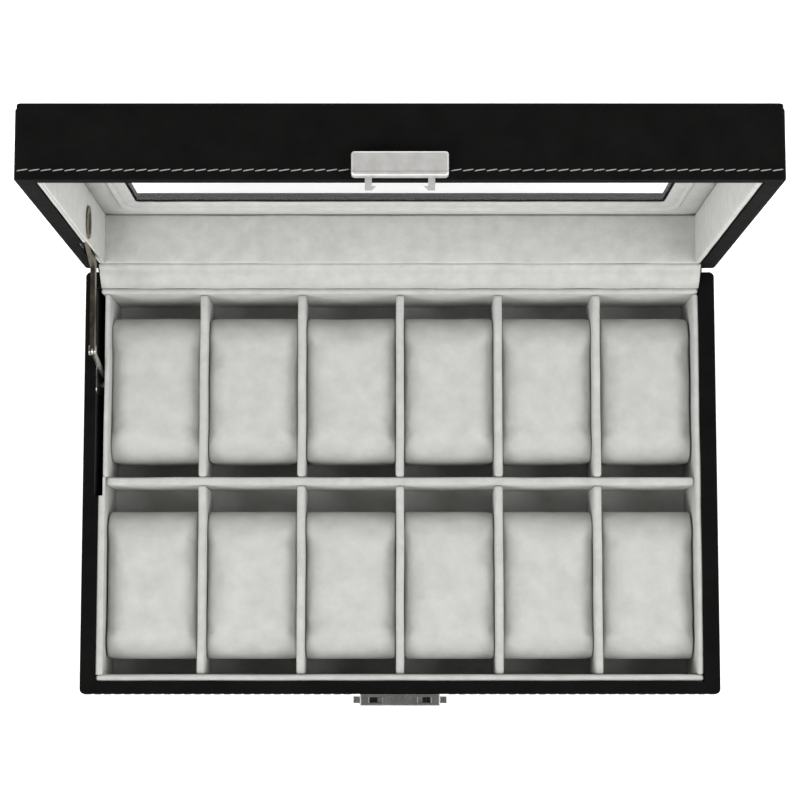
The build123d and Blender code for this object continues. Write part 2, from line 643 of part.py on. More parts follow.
with BuildPart() as hasp_screws:
    head_z = LID.origin.Z - SIDE_SPAN[0]
    for side in SIDES.values():
        with Locations(Plane((side * SCREW_X, LID.origin.Y + HASP_MID, head_z), z_dir=(0, 0, 1))):
            Cylinder(SCREW_HEAD_R, SCREW_HEAD_T, align=UPWARDS)
            Cylinder(SCREW_R, HASP_SCREW_LEN, align=UPWARDS)
save(hasp_screws, "hasp_screws")
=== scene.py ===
"""Looks for the watch box: leather cover, velvet lining and pillows, metalwork and thread.

Lengths are in metres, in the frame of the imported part: +X right, +Y back, +Z up.
The lid stands open at 90 degrees, so the lid's own height runs along +Y.
"""
import json
import math

import bmesh
import bpy
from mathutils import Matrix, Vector, noise

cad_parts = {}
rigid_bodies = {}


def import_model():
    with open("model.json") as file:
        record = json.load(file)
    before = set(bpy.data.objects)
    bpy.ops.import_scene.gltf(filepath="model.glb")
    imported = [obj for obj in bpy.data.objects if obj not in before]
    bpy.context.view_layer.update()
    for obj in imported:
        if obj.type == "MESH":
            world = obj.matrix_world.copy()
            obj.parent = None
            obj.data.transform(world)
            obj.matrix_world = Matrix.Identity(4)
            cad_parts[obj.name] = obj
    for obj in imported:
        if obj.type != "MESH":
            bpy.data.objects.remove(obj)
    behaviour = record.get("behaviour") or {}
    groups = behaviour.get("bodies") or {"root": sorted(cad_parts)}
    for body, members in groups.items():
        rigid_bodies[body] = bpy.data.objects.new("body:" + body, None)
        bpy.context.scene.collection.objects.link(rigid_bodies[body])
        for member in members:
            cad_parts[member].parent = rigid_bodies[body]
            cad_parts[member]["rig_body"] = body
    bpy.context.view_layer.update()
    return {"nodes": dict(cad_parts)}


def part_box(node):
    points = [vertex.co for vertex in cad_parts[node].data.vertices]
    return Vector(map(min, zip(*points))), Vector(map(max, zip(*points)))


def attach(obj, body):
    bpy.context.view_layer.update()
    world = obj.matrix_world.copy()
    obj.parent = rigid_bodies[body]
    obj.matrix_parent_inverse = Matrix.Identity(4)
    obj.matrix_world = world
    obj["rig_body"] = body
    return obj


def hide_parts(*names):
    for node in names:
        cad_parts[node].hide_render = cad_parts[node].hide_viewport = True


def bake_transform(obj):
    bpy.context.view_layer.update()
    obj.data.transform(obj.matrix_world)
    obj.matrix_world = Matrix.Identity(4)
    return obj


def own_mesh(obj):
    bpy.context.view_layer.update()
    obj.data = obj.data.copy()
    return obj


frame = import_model()
NODES = frame["nodes"]

MM = 0.001
UP = Vector((0, 0, 1))
BACK = Vector((0, 1, 0))
RIGHT = Vector((1, 0, 0))
SMALL = 1e-6


# ---------------------------------------------------------------- materials
def new_material(name):
    """A node material, its tree and its Principled shader."""
    material = bpy.data.materials.new(name)
    material.use_nodes = True
    tree = material.node_tree
    return material, tree, tree.nodes["Principled BSDF"]


def object_coords(tree):
    """The output socket of object coordinates, in metres."""
    return tree.nodes.new("ShaderNodeTexCoord").outputs["Object"]


def noise_node(tree, coords, size, detail=3.0, roughness=0.5):
    """A noise texture whose blobs are about `size` metres across."""
    node = tree.nodes.new("ShaderNodeTexNoise")
    node.inputs["Scale"].default_value = 1.0 / size
    node.inputs["Detail"].default_value = detail
    node.inputs["Roughness"].default_value = roughness
    tree.links.new(coords, node.inputs["Vector"])
    return node.outputs["Fac"]


def ramp_node(tree, factor, stops):
    """A colour ramp from a list of (position, rgb) stops."""
    node = tree.nodes.new("ShaderNodeValToRGB")
    elements = node.color_ramp.elements
    while len(elements) < len(stops):
        elements.new(0.5)
    for element, (position, rgb) in zip(elements, stops):
        element.position = position
        element.color = (*rgb, 1.0)
    tree.links.new(factor, node.inputs["Fac"])
    return node.outputs["Color"]


def range_node(tree, value, low, high):
    """Maps 0..1 onto low..high."""
    node = tree.nodes.new("ShaderNodeMapRange")
    node.inputs["To Min"].default_value = low
    node.inputs["To Max"].default_value = high
    tree.links.new(value, node.inputs["Value"])
    return node.outputs["Result"]


def bump_node(tree, height, depth, strength=1.0, below=None):
    """A bump of `depth` metres, stacked on another bump's normal if one is given."""
    node = tree.nodes.new("ShaderNodeBump")
    node.inputs["Strength"].default_value = strength
    node.inputs["Distance"].default_value = depth
    tree.links.new(height, node.inputs["Height"])
    if below is not None:
        tree.links.new(below, node.inputs["Normal"])
    return node.outputs["Normal"]


def leather_material():
    """Black leathercloth: pebbled grain, faint creases, a soft gloss."""
    material, tree, shader = new_material("black_leather")
    coords = object_coords(tree)
    tone = noise_node(tree, coords, 0.018, 4.0, 0.6)
    colour = ramp_node(tree, tone, [(0.3, (0.0028, 0.0028, 0.0027)), (0.75, (0.0052, 0.0051, 0.0049))])
    tree.links.new(colour, shader.inputs["Base Color"])
    cells = tree.nodes.new("ShaderNodeTexVoronoi")
    cells.feature = "SMOOTH_F1"
    cells.inputs["Scale"].default_value = 1.0 / 0.0009
    cells.inputs["Randomness"].default_value = 0.9
    tree.links.new(coords, cells.inputs["Vector"])
    grain = bump_node(tree, cells.outputs["Distance"], 0.0001, 0.5)
    crease = bump_node(tree, noise_node(tree, coords, 0.004, 5.0, 0.7), 0.00025, 0.25, grain)
    fine = noise_node(tree, coords, 0.0004, 2.0)
    tree.links.new(bump_node(tree, fine, 0.00004, 0.4, crease), shader.inputs["Normal"])
    rough = range_node(tree, noise_node(tree, coords, 0.006), 0.74, 0.92)
    tree.links.new(rough, shader.inputs["Roughness"])
    shader.inputs["Specular IOR Level"].default_value = 0.04
    return material


def velvet_material(name, light, dark, mottle=0.007, sheen=0.3):
    """Short pile velvet: brushed patches, a fine nap and sheen."""
    material, tree, shader = new_material(name)
    coords = object_coords(tree)
    patches = noise_node(tree, coords, mottle, 5.0, 0.62)
    colour = ramp_node(tree, patches, [(0.30, dark), (0.70, light)])
    tree.links.new(colour, shader.inputs["Base Color"])
    pile = noise_node(tree, coords, 0.00035, 2.0, 0.7)
    nap = bump_node(tree, pile, 0.00022, 0.5)
    brushed = noise_node(tree, coords, 0.0035, 3.0)
    tree.links.new(bump_node(tree, brushed, 0.0005, 0.4, nap), shader.inputs["Normal"])
    shader.inputs["Roughness"].default_value = 0.92
    shader.inputs["Specular IOR Level"].default_value = 0.12
    shader.inputs["Sheen Weight"].default_value = sheen
    shader.inputs["Sheen Roughness"].default_value = 0.45
    shader.inputs["Sheen Tint"].default_value = (0.93, 0.94, 0.91, 1.0)
    return material


def metal_material(name, light, dark, rough_low, rough_high, stretch=(1.0, 1.0, 1.0)):
    """Plated steel with fine directional scratches and uneven polish."""
    material, tree, shader = new_material(name)
    coords = object_coords(tree)
    mapping = tree.nodes.new("ShaderNodeMapping")
    mapping.inputs["Scale"].default_value = stretch
    tree.links.new(coords, mapping.inputs["Vector"])
    brushed = noise_node(tree, mapping.outputs["Vector"], 0.0009, 4.0, 0.7)
    cloud = noise_node(tree, coords, 0.004, 3.0)
    colour = ramp_node(tree, cloud, [(0.3, dark), (0.7, light)])
    tree.links.new(colour, shader.inputs["Base Color"])
    rough = range_node(tree, brushed, rough_low, rough_high)
    tree.links.new(rough, shader.inputs["Roughness"])
    tree.links.new(bump_node(tree, brushed, 0.00002, 0.35), shader.inputs["Normal"])
    shader.inputs["Metallic"].default_value = 1.0
    return material


def fibre_material(name, size, light, dark, depth):
    """A matte mass of fibres: stained fibreboard or needle felt."""
    material, tree, shader = new_material(name)
    fibres = noise_node(tree, object_coords(tree), size, 7.0, 0.78)
    tree.links.new(ramp_node(tree, fibres, [(0.35, dark), (0.7, light)]), shader.inputs["Base Color"])
    tree.links.new(bump_node(tree, fibres, depth, 0.5), shader.inputs["Normal"])
    shader.inputs["Roughness"].default_value = 0.88
    return material


def glass_material():
    """Clear float glass with a trace of smear in its gloss."""
    material, tree, shader = new_material("window_glass")
    smear = range_node(tree, noise_node(tree, object_coords(tree), 0.03, 4.0), 0.0, 0.03)
    tree.links.new(smear, shader.inputs["Roughness"])
    shader.inputs["Base Color"].default_value = (0.93, 0.96, 0.94, 1.0)
    shader.inputs["Transmission Weight"].default_value = 1.0
    shader.inputs["IOR"].default_value = 1.45
    shader.inputs["Alpha"].default_value = 0.08
    return material


def thread_material():
    """Pale grey sewing thread, twisted."""
    material, tree, shader = new_material("stitch_thread")
    twist = noise_node(tree, object_coords(tree), 0.0003, 2.0)
    colour = ramp_node(tree, twist, [(0.3, (0.16, 0.157, 0.15)), (0.7, (0.30, 0.295, 0.28))])
    tree.links.new(colour, shader.inputs["Base Color"])
    tree.links.new(bump_node(tree, twist, 0.00008, 0.6), shader.inputs["Normal"])
    shader.inputs["Roughness"].default_value = 0.7
    return material


LEATHER = leather_material()
LINING = velvet_material("lining_velvet", (0.455, 0.457, 0.436), (0.375, 0.377, 0.36))
PILLOW = velvet_material("pillow_velvet", (0.45, 0.451, 0.438), (0.385, 0.386, 0.374), 0.009, 0.25)
# The floor velvet is the lining's cloth, painted lighter than the lining. This is painted light: the
# floor lies in shade deep in the slots beside the pillows, and the lighter colour brightens it.
FLOOR_VELVET_PAINTED_LIGHT = velvet_material("floor_velvet_painted_light", (0.66, 0.66, 0.64), (0.58, 0.58, 0.565), 0.007, 0.1)
BRUSHED = (0.15, 1.0, 1.0)
NICKEL = metal_material("satin_nickel", (0.68, 0.672, 0.655), (0.60, 0.592, 0.577), 0.42, 0.55, BRUSHED)
LOCK_CHROME = metal_material("lock_chrome", (0.62, 0.62, 0.60), (0.46, 0.46, 0.44), 0.22, 0.34)
ZINC = metal_material("plated_steel", (0.66, 0.65, 0.62), (0.46, 0.455, 0.44), 0.22, 0.38)
BRONZE = metal_material("bronze_steel", (0.20, 0.18, 0.135), (0.09, 0.082, 0.062), 0.22, 0.40)
WIRE = metal_material("steel_wire", (0.6, 0.6, 0.6), (0.5, 0.5, 0.5), 0.2, 0.35)
BOARD = fibre_material("fibreboard", 0.0008, (0.03, 0.027, 0.024), (0.012, 0.011, 0.010), 0.0001)
FELT = fibre_material("bottom_felt", 0.0012, (0.028, 0.028, 0.028), (0.010, 0.010, 0.010), 0.0004)
GLASS = glass_material()
THREAD = thread_material()

NODE_MATERIALS = {
    "base_leather": LEATHER,
    "lid_leather": LEATHER,
    "lid_top_panel": LEATHER,
    "hinge_spine": LEATHER,
    "glass_pane": GLASS,
    "base_felt": FELT,
    "lid_top_frame": BOARD,
    "base_liner_floor": FLOOR_VELVET_PAINTED_LIGHT,
    "stay_arm": BRONZE,
    "stay_link": ZINC,
    "stay_elbow_rivet": ZINC,
    "stay_base_bracket": ZINC,
    "stay_lid_bracket": ZINC,
    "stay_lid_plate": BRONZE,
    "lock_housing": LOCK_CHROME,
    "lock_button_left": LOCK_CHROME,
    "lock_button_right": LOCK_CHROME,
    "hasp_plate": NICKEL,
    "hasp_screws": WIRE,
    "lock_screws": WIRE,
    "lock_spring_left": WIRE,
    "lock_spring_right": WIRE,
}


def material_for(name):
    """The finish of a CAD node."""
    if name in NODE_MATERIALS:
        return NODE_MATERIALS[name]
    if "board" in name:
        return BOARD
    if name.startswith("cushion"):
        return PILLOW
    return LINING


for name, node in NODES.items():
    node.data.materials.clear()
    node.data.materials.append(material_for(name))


# ---------------------------------------------------------------- mesh helpers
def add_object(name, bm, material):
    """Turns a bmesh into a linked object with one material."""
    mesh = bpy.data.meshes.new(name)
    bmesh.ops.recalc_face_normals(bm, faces=bm.faces)
    bm.to_mesh(mesh)
    bm.free()
    mesh.materials.append(material)
    for polygon in mesh.polygons:
        polygon.use_smooth = True
    obj = bpy.data.objects.new(name, mesh)
    bpy.context.scene.collection.objects.link(obj)
    return obj


def stand_for(obj, node_name):
    """A new piece takes over from a CAD node: it rides on the node's body, and the node is hidden."""
    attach(obj, NODES[node_name]["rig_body"])
    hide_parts(node_name)


def axis_stops(low, high, edge, cell, edge_cuts):
    """Cut positions along one axis: close together in both edge zones, wider between."""
    inner = max(1, round((high - low - 2 * edge) / cell))
    stops = [low + edge * i / edge_cuts for i in range(edge_cuts)]
    stops += [low + edge + (high - low - 2 * edge) * i / inner for i in range(inner)]
    stops += [high - edge + edge * i / edge_cuts for i in range(edge_cuts + 1)]
    return stops


def shell(bm, stops):
    """A closed box shell cut at the given stops along x, y and z."""
    corners = {}

    def corner(key):
        if key not in corners:
            corners[key] = bm.verts.new([stops[a][key[a]] for a in range(3)])
        return corners[key]

    for axis in range(3):
        u, v = (axis + 1) % 3, (axis + 2) % 3
        for side in (0, len(stops[axis]) - 1):
            for i in range(len(stops[u]) - 1):
                for j in range(len(stops[v]) - 1):
                    ring = []
                    for di, dj in ((0, 0), (1, 0), (1, 1), (0, 1)):
                        key = [0, 0, 0]
                        key[axis], key[u], key[v] = side, i + di, j + dj
                        ring.append(corner(tuple(key)))
                    bm.faces.new(ring)
    return list(corners.values())


def round_off(verts, low, high, radii, axes=(0, 1, 2)):
    """Moves the verts of a box shell onto a rounded box, over the given axes."""
    for vert in verts:
        inner = {a: min(max(vert.co[a], low[a] + radii[a]), high[a] - radii[a]) for a in axes}
        away = {a: (vert.co[a] - inner[a]) / radii[a] for a in axes}
        reach = max(abs(part) for part in away.values())
        length = math.sqrt(sum(part**2 for part in away.values()))
        if length > SMALL:
            for a in axes:
                vert.co[a] = inner[a] + away[a] * radii[a] * reach / length


# Without a set seed noise_vector is shifted by one from the clock, and no two runs are the same.
noise.seed_set(1)


def drift(place, scale, seed):
    """A smooth random vector at a place."""
    shifted = Vector(place) * scale + Vector((seed * 7.3, seed * 3.1, seed * 5.7))
    return noise.noise_vector(shifted)


# ---------------------------------------------------------------- velvet covered cards
CARD_R = 1.3 * MM
CARD_WAVE = 0.22 * MM
SKIN_WAVE = 0.1 * MM
CARD_CELL = 4 * MM


def velvet_card(node_name, blocks, wave=CARD_WAVE):
    """Velvet wrapped card in place of a CAD node, with soft edges and slightly uneven faces."""
    bm = bmesh.new()
    for number, (low, high) in enumerate(blocks):
        size = high - low
        edge = min(CARD_R, 0.45 * min(size))
        stops = [axis_stops(low[a], high[a], edge, CARD_CELL, 3) for a in range(3)]
        verts = shell(bm, stops)
        round_off(verts, low, high, (edge, edge, edge))
        for vert in verts:
            vert.co += drift(vert.co, 45.0, number + 1) * wave
    obj = add_object("velvet_" + node_name, bm, material_for(node_name))
    stand_for(obj, node_name)


CARDS = (
    "base_liner_front",
    "base_liner_back",
    "base_liner_right",
    "base_liner_left_back",
    "divider_long",
    "lid_liner_front",
    "lid_liner_back",
    "lid_liner_right",
)
for name in CARDS:
    velvet_card(name, [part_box(name)])

STAY_SKIN_X = -140.6 * MM
STAY_SLOT_Y = 113.4 * MM
STAY_SLOT_Z = (78.4 * MM, 114.4 * MM)


def lid_left_card():
    """The lid's left card: an unbroken skin, and a backing that leaves the stay's slot open."""
    low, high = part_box("lid_liner_left")
    skin = (Vector((STAY_SKIN_X, low.y, low.z)), high)
    below = (low, Vector((STAY_SKIN_X, high.y, STAY_SLOT_Z[0])))
    above = (Vector((low.x, low.y, STAY_SLOT_Z[1])), Vector((STAY_SKIN_X, high.y, high.z)))
    foot, head = STAY_SLOT_Z
    behind = (Vector((low.x, STAY_SLOT_Y, foot)), Vector((STAY_SKIN_X, high.y, head)))
    velvet_card("lid_liner_left", [skin, below, above, behind], wave=SKIN_WAVE)


lid_left_card()

LONG_LOW, LONG_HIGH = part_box("divider_long")
SEAM = 0.3 * MM
for number in range(1, 6):
    low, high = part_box(f"divider_cross_{number}")
    front = (low, Vector((high.x, LONG_LOW.y - SEAM, high.z)))
    back = (Vector((low.x, LONG_HIGH.y + SEAM, low.z)), high)
    velvet_card(f"divider_cross_{number}", [front, back])


# ---------------------------------------------------------------- pillows
SIM_SCALE = 8.0
PILLOW_KINDS = 4
PILLOW_CELL = 2.6 * MM
LOOP_R = 10.5 * MM
END_R = 2.4 * MM
SWELL = Vector((0.6, 1.0, 1.8)) * MM
SWELL_CAP = 1.8 * MM
CLOTH_FRAMES = 20
CLOTH_PRESSURE = 5.0
SIDE_PRESS = 0.3 * MM
PILLOW_SMOOTHING = 0.12
PILLOW_WAVE = 0.6 * MM
PILLOW_SAG = 0.35 * MM
PRESSED = Vector((1.09, 1.03, 1.0))


def pillow_blank(size, seed):
    """A slack pillow shell on z = 0: an oval loop in Y, Z with small edges at its two X ends."""
    low = Vector((-size.x / 2, -size.y / 2, 0)) + Vector((SWELL.x, SWELL.y, 0)) * 0.5
    high = Vector((size.x / 2, size.y / 2, size.z)) - Vector((SWELL.x * 0.5, SWELL.y * 0.5, SWELL.z))
    middle = (low + high) / 2
    half = (high - low) / 2
    bm = bmesh.new()
    zones = (END_R, LOOP_R, LOOP_R)
    stops = [axis_stops(low[a], high[a], zones[a], PILLOW_CELL, (3, 5, 5)[a]) for a in range(3)]
    verts = shell(bm, stops)
    round_off(verts, low, high, (1.0, LOOP_R, LOOP_R), axes=(1, 2))
    for vert in verts:
        into_edge = max(0.0, abs(vert.co.x - middle.x) - (half.x - END_R)) / END_R
        inset = END_R * (1 - math.sqrt(max(0.0, 1 - into_edge**2)))
        vert.co.y = middle.y + (vert.co.y - middle.y) * (1 - inset / half.y)
        vert.co.z = middle.z + (vert.co.z - middle.z) * (1 - inset / half.z)
        vert.co += drift(vert.co, 60.0, seed) * PILLOW_WAVE
    return bm


def inflate(obj):
    """Swells a shell by cloth pressure and applies the result, capped in how far it moves."""
    start = [vert.co.copy() for vert in obj.data.vertices]
    cloth = obj.modifiers.new("cloth", "CLOTH")
    settings = cloth.settings
    settings.quality = 5
    settings.use_pressure = True
    settings.uniform_pressure_force = CLOTH_PRESSURE
    settings.effector_weights.gravity = 0.0
    settings.tension_stiffness = 12.0
    settings.bending_stiffness = 0.6
    cloth.point_cache.frame_start = 1
    cloth.point_cache.frame_end = CLOTH_FRAMES
    for step in range(1, CLOTH_FRAMES + 1):
        bpy.context.scene.frame_set(step)
    graph = bpy.context.evaluated_depsgraph_get()
    moved = [vert.co.copy() for vert in obj.evaluated_get(graph).data.vertices]
    obj.modifiers.remove(cloth)
    bpy.context.scene.frame_set(1)
    cap = SWELL_CAP * SIM_SCALE
    for vert, before, after in zip(obj.data.vertices, start, moved):
        step = after - before
        if step.length > cap:
            step *= cap / step.length
        vert.co = before + step


def pillow_mesh(size, seed):
    """One finished pillow: inflated, pressed flat by its walls and floor, then smoothed."""
    bm = pillow_blank(size, seed)
    bmesh.ops.scale(bm, vec=(SIM_SCALE,) * 3, verts=bm.verts)
    obj = add_object(f"pillow_kind_{seed}", bm, PILLOW)
    inflate(obj)
    half = Vector((size.x / 2 + SIDE_PRESS, size.y / 2, size.z))
    for vert in obj.data.vertices:
        place = Vector(c * p for c, p in zip(vert.co / SIM_SCALE, PRESSED))
        place += drift(place, 120.0, seed + 11) * PILLOW_SAG
        place.x = max(-half.x, min(half.x, place.x))
        place.y = max(-half.y, min(half.y, place.y))
        place.z = max(0.0, min(half.z, place.z))
        vert.co = place
    bm = bmesh.new()
    bm.from_mesh(obj.data)
    every_axis = dict(use_axis_x=True, use_axis_y=True, use_axis_z=True)
    bmesh.ops.smooth_vert(bm, verts=bm.verts, factor=PILLOW_SMOOTHING, **every_axis)
    bm.to_mesh(obj.data)
    bm.free()
    subdivide = obj.modifiers.new("subdivide", "SUBSURF")
    subdivide.levels = subdivide.render_levels = 1
    graph = bpy.context.evaluated_depsgraph_get()
    mesh = bpy.data.meshes.new_from_object(obj.evaluated_get(graph))
    bpy.data.objects.remove(obj)
    return mesh


def make_pillows():
    """Twelve pillows from four shapes, turned end for end or mirrored so that no two neighbours match.
    """
    low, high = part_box("cushion_front_1")
    kinds = [pillow_mesh(high - low, seed) for seed in range(1, PILLOW_KINDS + 1)]
    for row_number, row in enumerate(("front", "back")):
        for column in range(1, 7):
            name = f"cushion_{row}_{column}"
            low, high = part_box(name)
            number = row_number * 6 + column - 1
            mesh = kinds[number % PILLOW_KINDS].copy()
            flip_x = -1 if (number // PILLOW_KINDS) % 2 else 1
            flip_y = -1 if (number // 2) % 2 else 1
            centre = (low + high) / 2
            place = Vector((centre.x, centre.y, low.z))
            for vert in mesh.vertices:
                vert.co = place + Vector((vert.co.x * flip_x, vert.co.y * flip_y, vert.co.z))
            if flip_x * flip_y < 0:
                mesh.flip_normals()
            pillow = bpy.data.objects.new(f"pillow_{row}_{column}", mesh)
            bpy.context.scene.collection.objects.link(pillow)
            stand_for(pillow, name)


make_pillows()


# ---------------------------------------------------------------- hinge strips
def strip(name, line, thick, x_half, cells, shape, material):
    """A thin closed strip along X whose cross-section follows a line in the Y, Z plane."""
    bm = bmesh.new()
    rows = {}
    for side in (0, 1):
        for i in range(cells + 1):
            across = -1 + 2 * i / cells
            for j, (y, z, out_y, out_z) in enumerate(line):
                lift = shape(across, j / (len(line) - 1))
                raise_by = lift + (thick if side else 0.0)
                place = (across * x_half, y + out_y * raise_by, z + out_z * raise_by)
                rows[side, i, j] = bm.verts.new(place)
    last = len(line) - 1
    for i in range(cells):
        for j in range(last):
            for side in (0, 1):
                corners = ((i, j), (i + 1, j), (i + 1, j + 1), (i, j + 1))
                bm.faces.new([rows[side, a, b] for a, b in corners])
        for j in (0, last):
            bm.faces.new([rows[0, i, j], rows[0, i + 1, j], rows[1, i + 1, j], rows[1, i, j]])
    for i in (0, cells):
        for j in range(last):
            bm.faces.new([rows[0, i, j], rows[0, i, j + 1], rows[1, i, j + 1], rows[1, i, j]])
    return add_object(name, bm, material)


def hinge_roll():
    """The soft velvet roll that bridges the two back liners."""
    low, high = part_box("hinge_lining")
    start = Vector((0, low.y + 0.1 * MM, low.z - 0.4 * MM))
    end = Vector((0, high.y + 0.75 * MM, high.z + 1.7 * MM))
    count = 18
    line = []
    for j in range(count + 1):
        place = start.lerp(end, j / count)
        line.append((place.y, place.z, -0.7071, 0.7071))

    def shape(across, along):
        crown = 3.0 * MM * math.sin(math.pi * min(1.0, along / 0.80)) ** 0.7
        ridge = 0.9 * MM * max(0.0, math.sin(math.pi * (along - 0.80) / 0.20)) if along > 0.80 else 0.0
        ends = min(1.0, (1 - abs(across)) / 0.03) ** 0.5
        wobble = 0.35 * MM * noise.noise(Vector((across * 9.0, along * 2.0, 4.0)))
        return (crown + ridge) * (0.35 + 0.65 * ends) + wobble

    roll = strip("hinge_roll", line, 0.45 * MM, high.x + 2.8 * MM, 96, shape, LINING)
    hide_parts("hinge_lining")
    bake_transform(roll)


SPINE_T = 0.5 * MM
SPINE_BEND = 1.0 * MM


def hinge_leather():
    """The leather spine outside, bent along the hinge line."""
    low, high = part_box("hinge_spine")
    bend = SPINE_BEND
    face, under = low.y, high.z
    line = [(face, low.z + (under - bend - low.z) * t / 6, 1.0, 0.0) for t in range(6)]
    for step in range(9):
        angle = math.pi / 2 * step / 8
        out = (math.cos(angle), -math.sin(angle))
        line.append((face + bend - out[0] * bend, under - bend - out[1] * bend, *out))
    line += [(face + bend + (high.y - face - bend) * t / 6, under, 0.0, -1.0) for t in range(1, 7)]

    def shape(across, along):
        return 0.08 * MM * noise.noise(Vector((across * 14.0, along * 3.0, 9.0)))

    spine = strip("leather_spine", line, SPINE_T, high.x, 80, shape, LEATHER)
    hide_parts("hinge_spine")
    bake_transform(spine)


hinge_roll()
hinge_leather()


# ---------------------------------------------------------------- window bezel
def rounded_loop(half_x, half_y, radius, straight, arc):
    """Points round a rectangle with rounded corners, the same count for any size."""
    points = []
    for quarter in range(4):
        sign_x = (1, -1, -1, 1)[quarter]
        sign_y = (1, 1, -1, -1)[quarter]
        centre = Vector((sign_x * (half_x - radius), sign_y * (half_y - radius)))
        for step in range(arc + 1):
            angle = math.pi / 2 * (quarter + step / arc)
            points.append(centre + Vector((math.cos(angle), math.sin(angle))) * radius)
        next_x = (-1, -1, 1, 1)[quarter]
        next_y = (1, -1, -1, 1)[quarter]
        following = Vector((next_x * (half_x - radius), next_y * (half_y - radius)))
        angle = math.pi / 2 * (quarter + 1)
        target = following + Vector((math.cos(angle), math.sin(angle))) * radius
        for step in range(1, straight):
            points.append(points[quarter * (arc + straight) + arc].lerp(target, step / straight))
    return points


WINDOW_LAP = 2.5 * MM
WINDOW_R = 2.0 * MM
BEZEL_W = 9.5 * MM
BEZEL_T = 1.2 * MM
BEZEL_FOOT = 2.4 * MM
BEZEL_WAVE = 0.12 * MM
SIDE_CUTS = 60
ARC_CUTS = 8


def bezel_loop(inner, out):
    """The loop of the window's opening, moved outwards."""
    return rounded_loop(inner.x + out, inner.y + out, WINDOW_R + out, SIDE_CUTS, ARC_CUTS)


def window_surround():
    """The velvet bezel: flat card, a raised bead and a crowned slope down to the glass."""
    low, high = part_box("window_bezel")
    glass_low, glass_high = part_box("glass_pane")
    centre = Vector(((glass_low.x + glass_high.x) / 2, (glass_low.z + glass_high.z) / 2))
    glass = glass_high - glass_low
    inner = Vector((glass.x / 2 - WINDOW_LAP, glass.z / 2 - WINDOW_LAP))
    card_y, glass_y = low.y, high.y
    back_y = card_y + BEZEL_T
    profile = [
        (0.0, glass_y),
        (0.0, glass_y - 0.5 * MM),
        (0.5 * MM, glass_y - 1.1 * MM),
        (1.6 * MM, card_y + 0.7 * MM),
        (3.0 * MM, card_y + 0.25 * MM),
        (4.2 * MM, card_y + 0.25 * MM),
        (4.7 * MM, card_y + 0.45 * MM),
        (5.0 * MM, card_y + 0.05 * MM),
        (5.4 * MM, card_y - 0.6 * MM),
        (6.1 * MM, card_y - 0.95 * MM),
        (6.8 * MM, card_y - 0.6 * MM),
        (7.3 * MM, card_y + 0.4 * MM),
        (7.8 * MM, card_y + 0.02 * MM),
        (BEZEL_W, card_y),
    ]
    bm = bmesh.new()
    rings = []
    for out, y in profile:
        loop = bezel_loop(inner, out)
        ring = []
        for point in loop:
            wobble = BEZEL_WAVE * noise.noise(Vector((point.x * 60, point.y * 60, out * 400)))
            ring.append(bm.verts.new((centre.x + point.x, y + wobble, centre.y + point.y)))
        rings.append(ring)
    last_loop = rings[-1]
    edge_x, edge_z = inner.x + BEZEL_W, inner.y + BEZEL_W
    for y in (card_y, back_y):
        ring = []
        for vert in last_loop:
            out_x = vert.co.x - centre.x
            out_z = vert.co.z - centre.y
            reach = max(abs(out_x) / edge_x, abs(out_z) / edge_z)
            x = centre.x + out_x / reach / edge_x * (high.x - centre.x)
            z_half = (high.z - centre.y) if out_z > 0 else (centre.y - low.z)
            z = centre.y + out_z / reach / edge_z * z_half
            ring.append(bm.verts.new((x, y, z)))
        rings.append(ring)
    loop = bezel_loop(inner, BEZEL_FOOT)
    for y in (back_y, glass_y):
        rings.append([bm.verts.new((centre.x + p.x, y, centre.y + p.y)) for p in loop])
    count = len(rings[0])
    for one, other in zip(rings, rings[1:] + rings[:1]):
        for i in range(count):
            j = (i + 1) % count
            bm.faces.new([one[i], one[j], other[j], other[i]])
    obj = add_object("velvet_window_bezel", bm, LINING)
    stand_for(obj, "window_bezel")


window_surround()


# ---------------------------------------------------------------- stitching
STITCH_PITCH = 4.7 * MM
STITCH_LENGTH = 4.2 * MM
STITCH_SLANT = 0.32 * MM
STITCH_R = 0.27 * MM
STITCH_SIDES = 7
STITCH_WANDER = 0.12 * MM
RIM_DROP = 3.8 * MM
CORNER_ROOM = 3.2 * MM
FRONT_ROOM = 1.2 * MM
METAL_GAP = 0.6 * MM
SPINE_ROOM = 2.5 * MM
SPINE_EDGE = 1.6 * MM
# Along a stitch: share of its length, height and thickness in stitch radii
STITCH_PROFILE = (
    (0.0, -0.45, 0.6),
    (0.12, 0.1, 0.95),
    (0.35, 0.28, 1.0),
    (0.65, 0.28, 0.95),
    (0.88, 0.08, 0.8),
    (1.0, -0.45, 0.55),
)


def stitch_row(bm, start, end, out, lean):
    """Slanted stitches from start to end on a face whose outward direction is `out`."""
    run = end - start
    along = run.normalized()
    count = round(run.length / STITCH_PITCH)
    pitch = run.length / count
    for number in range(count):
        origin = start + along * (number * pitch + (pitch - STITCH_LENGTH) / 2)
        rings = []
        uneven = drift(origin, 900.0, 3) * STITCH_WANDER
        for share, height, width in STITCH_PROFILE:
            centre = origin + along * STITCH_LENGTH * share + lean * STITCH_SLANT * (2 * share - 1)
            centre += out * height * STITCH_R + uneven * (1 - abs(2 * share - 1))
            ring = []
            for corner in range(STITCH_SIDES):
                angle = 2 * math.pi * corner / STITCH_SIDES
                around = out * math.cos(angle) + lean * math.sin(angle)
                ring.append(bm.verts.new(centre + around * STITCH_R * width))
            rings.append(ring)
        for one, other in zip(rings, rings[1:]):
            for corner in range(STITCH_SIDES):
                after = (corner + 1) % STITCH_SIDES
                bm.faces.new([one[corner], one[after], other[after], other[corner]])
        bm.faces.new(rings[0])
        bm.faces.new(rings[-1])


def add_thread(name, rows, body):
    """One mesh of stitch rows, riding on a body."""
    bm = bmesh.new()
    for start, end, out, lean in rows:
        stitch_row(bm, Vector(start), Vector(end), out, lean)
    thread = add_object(name, bm, THREAD)
    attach(thread, body)


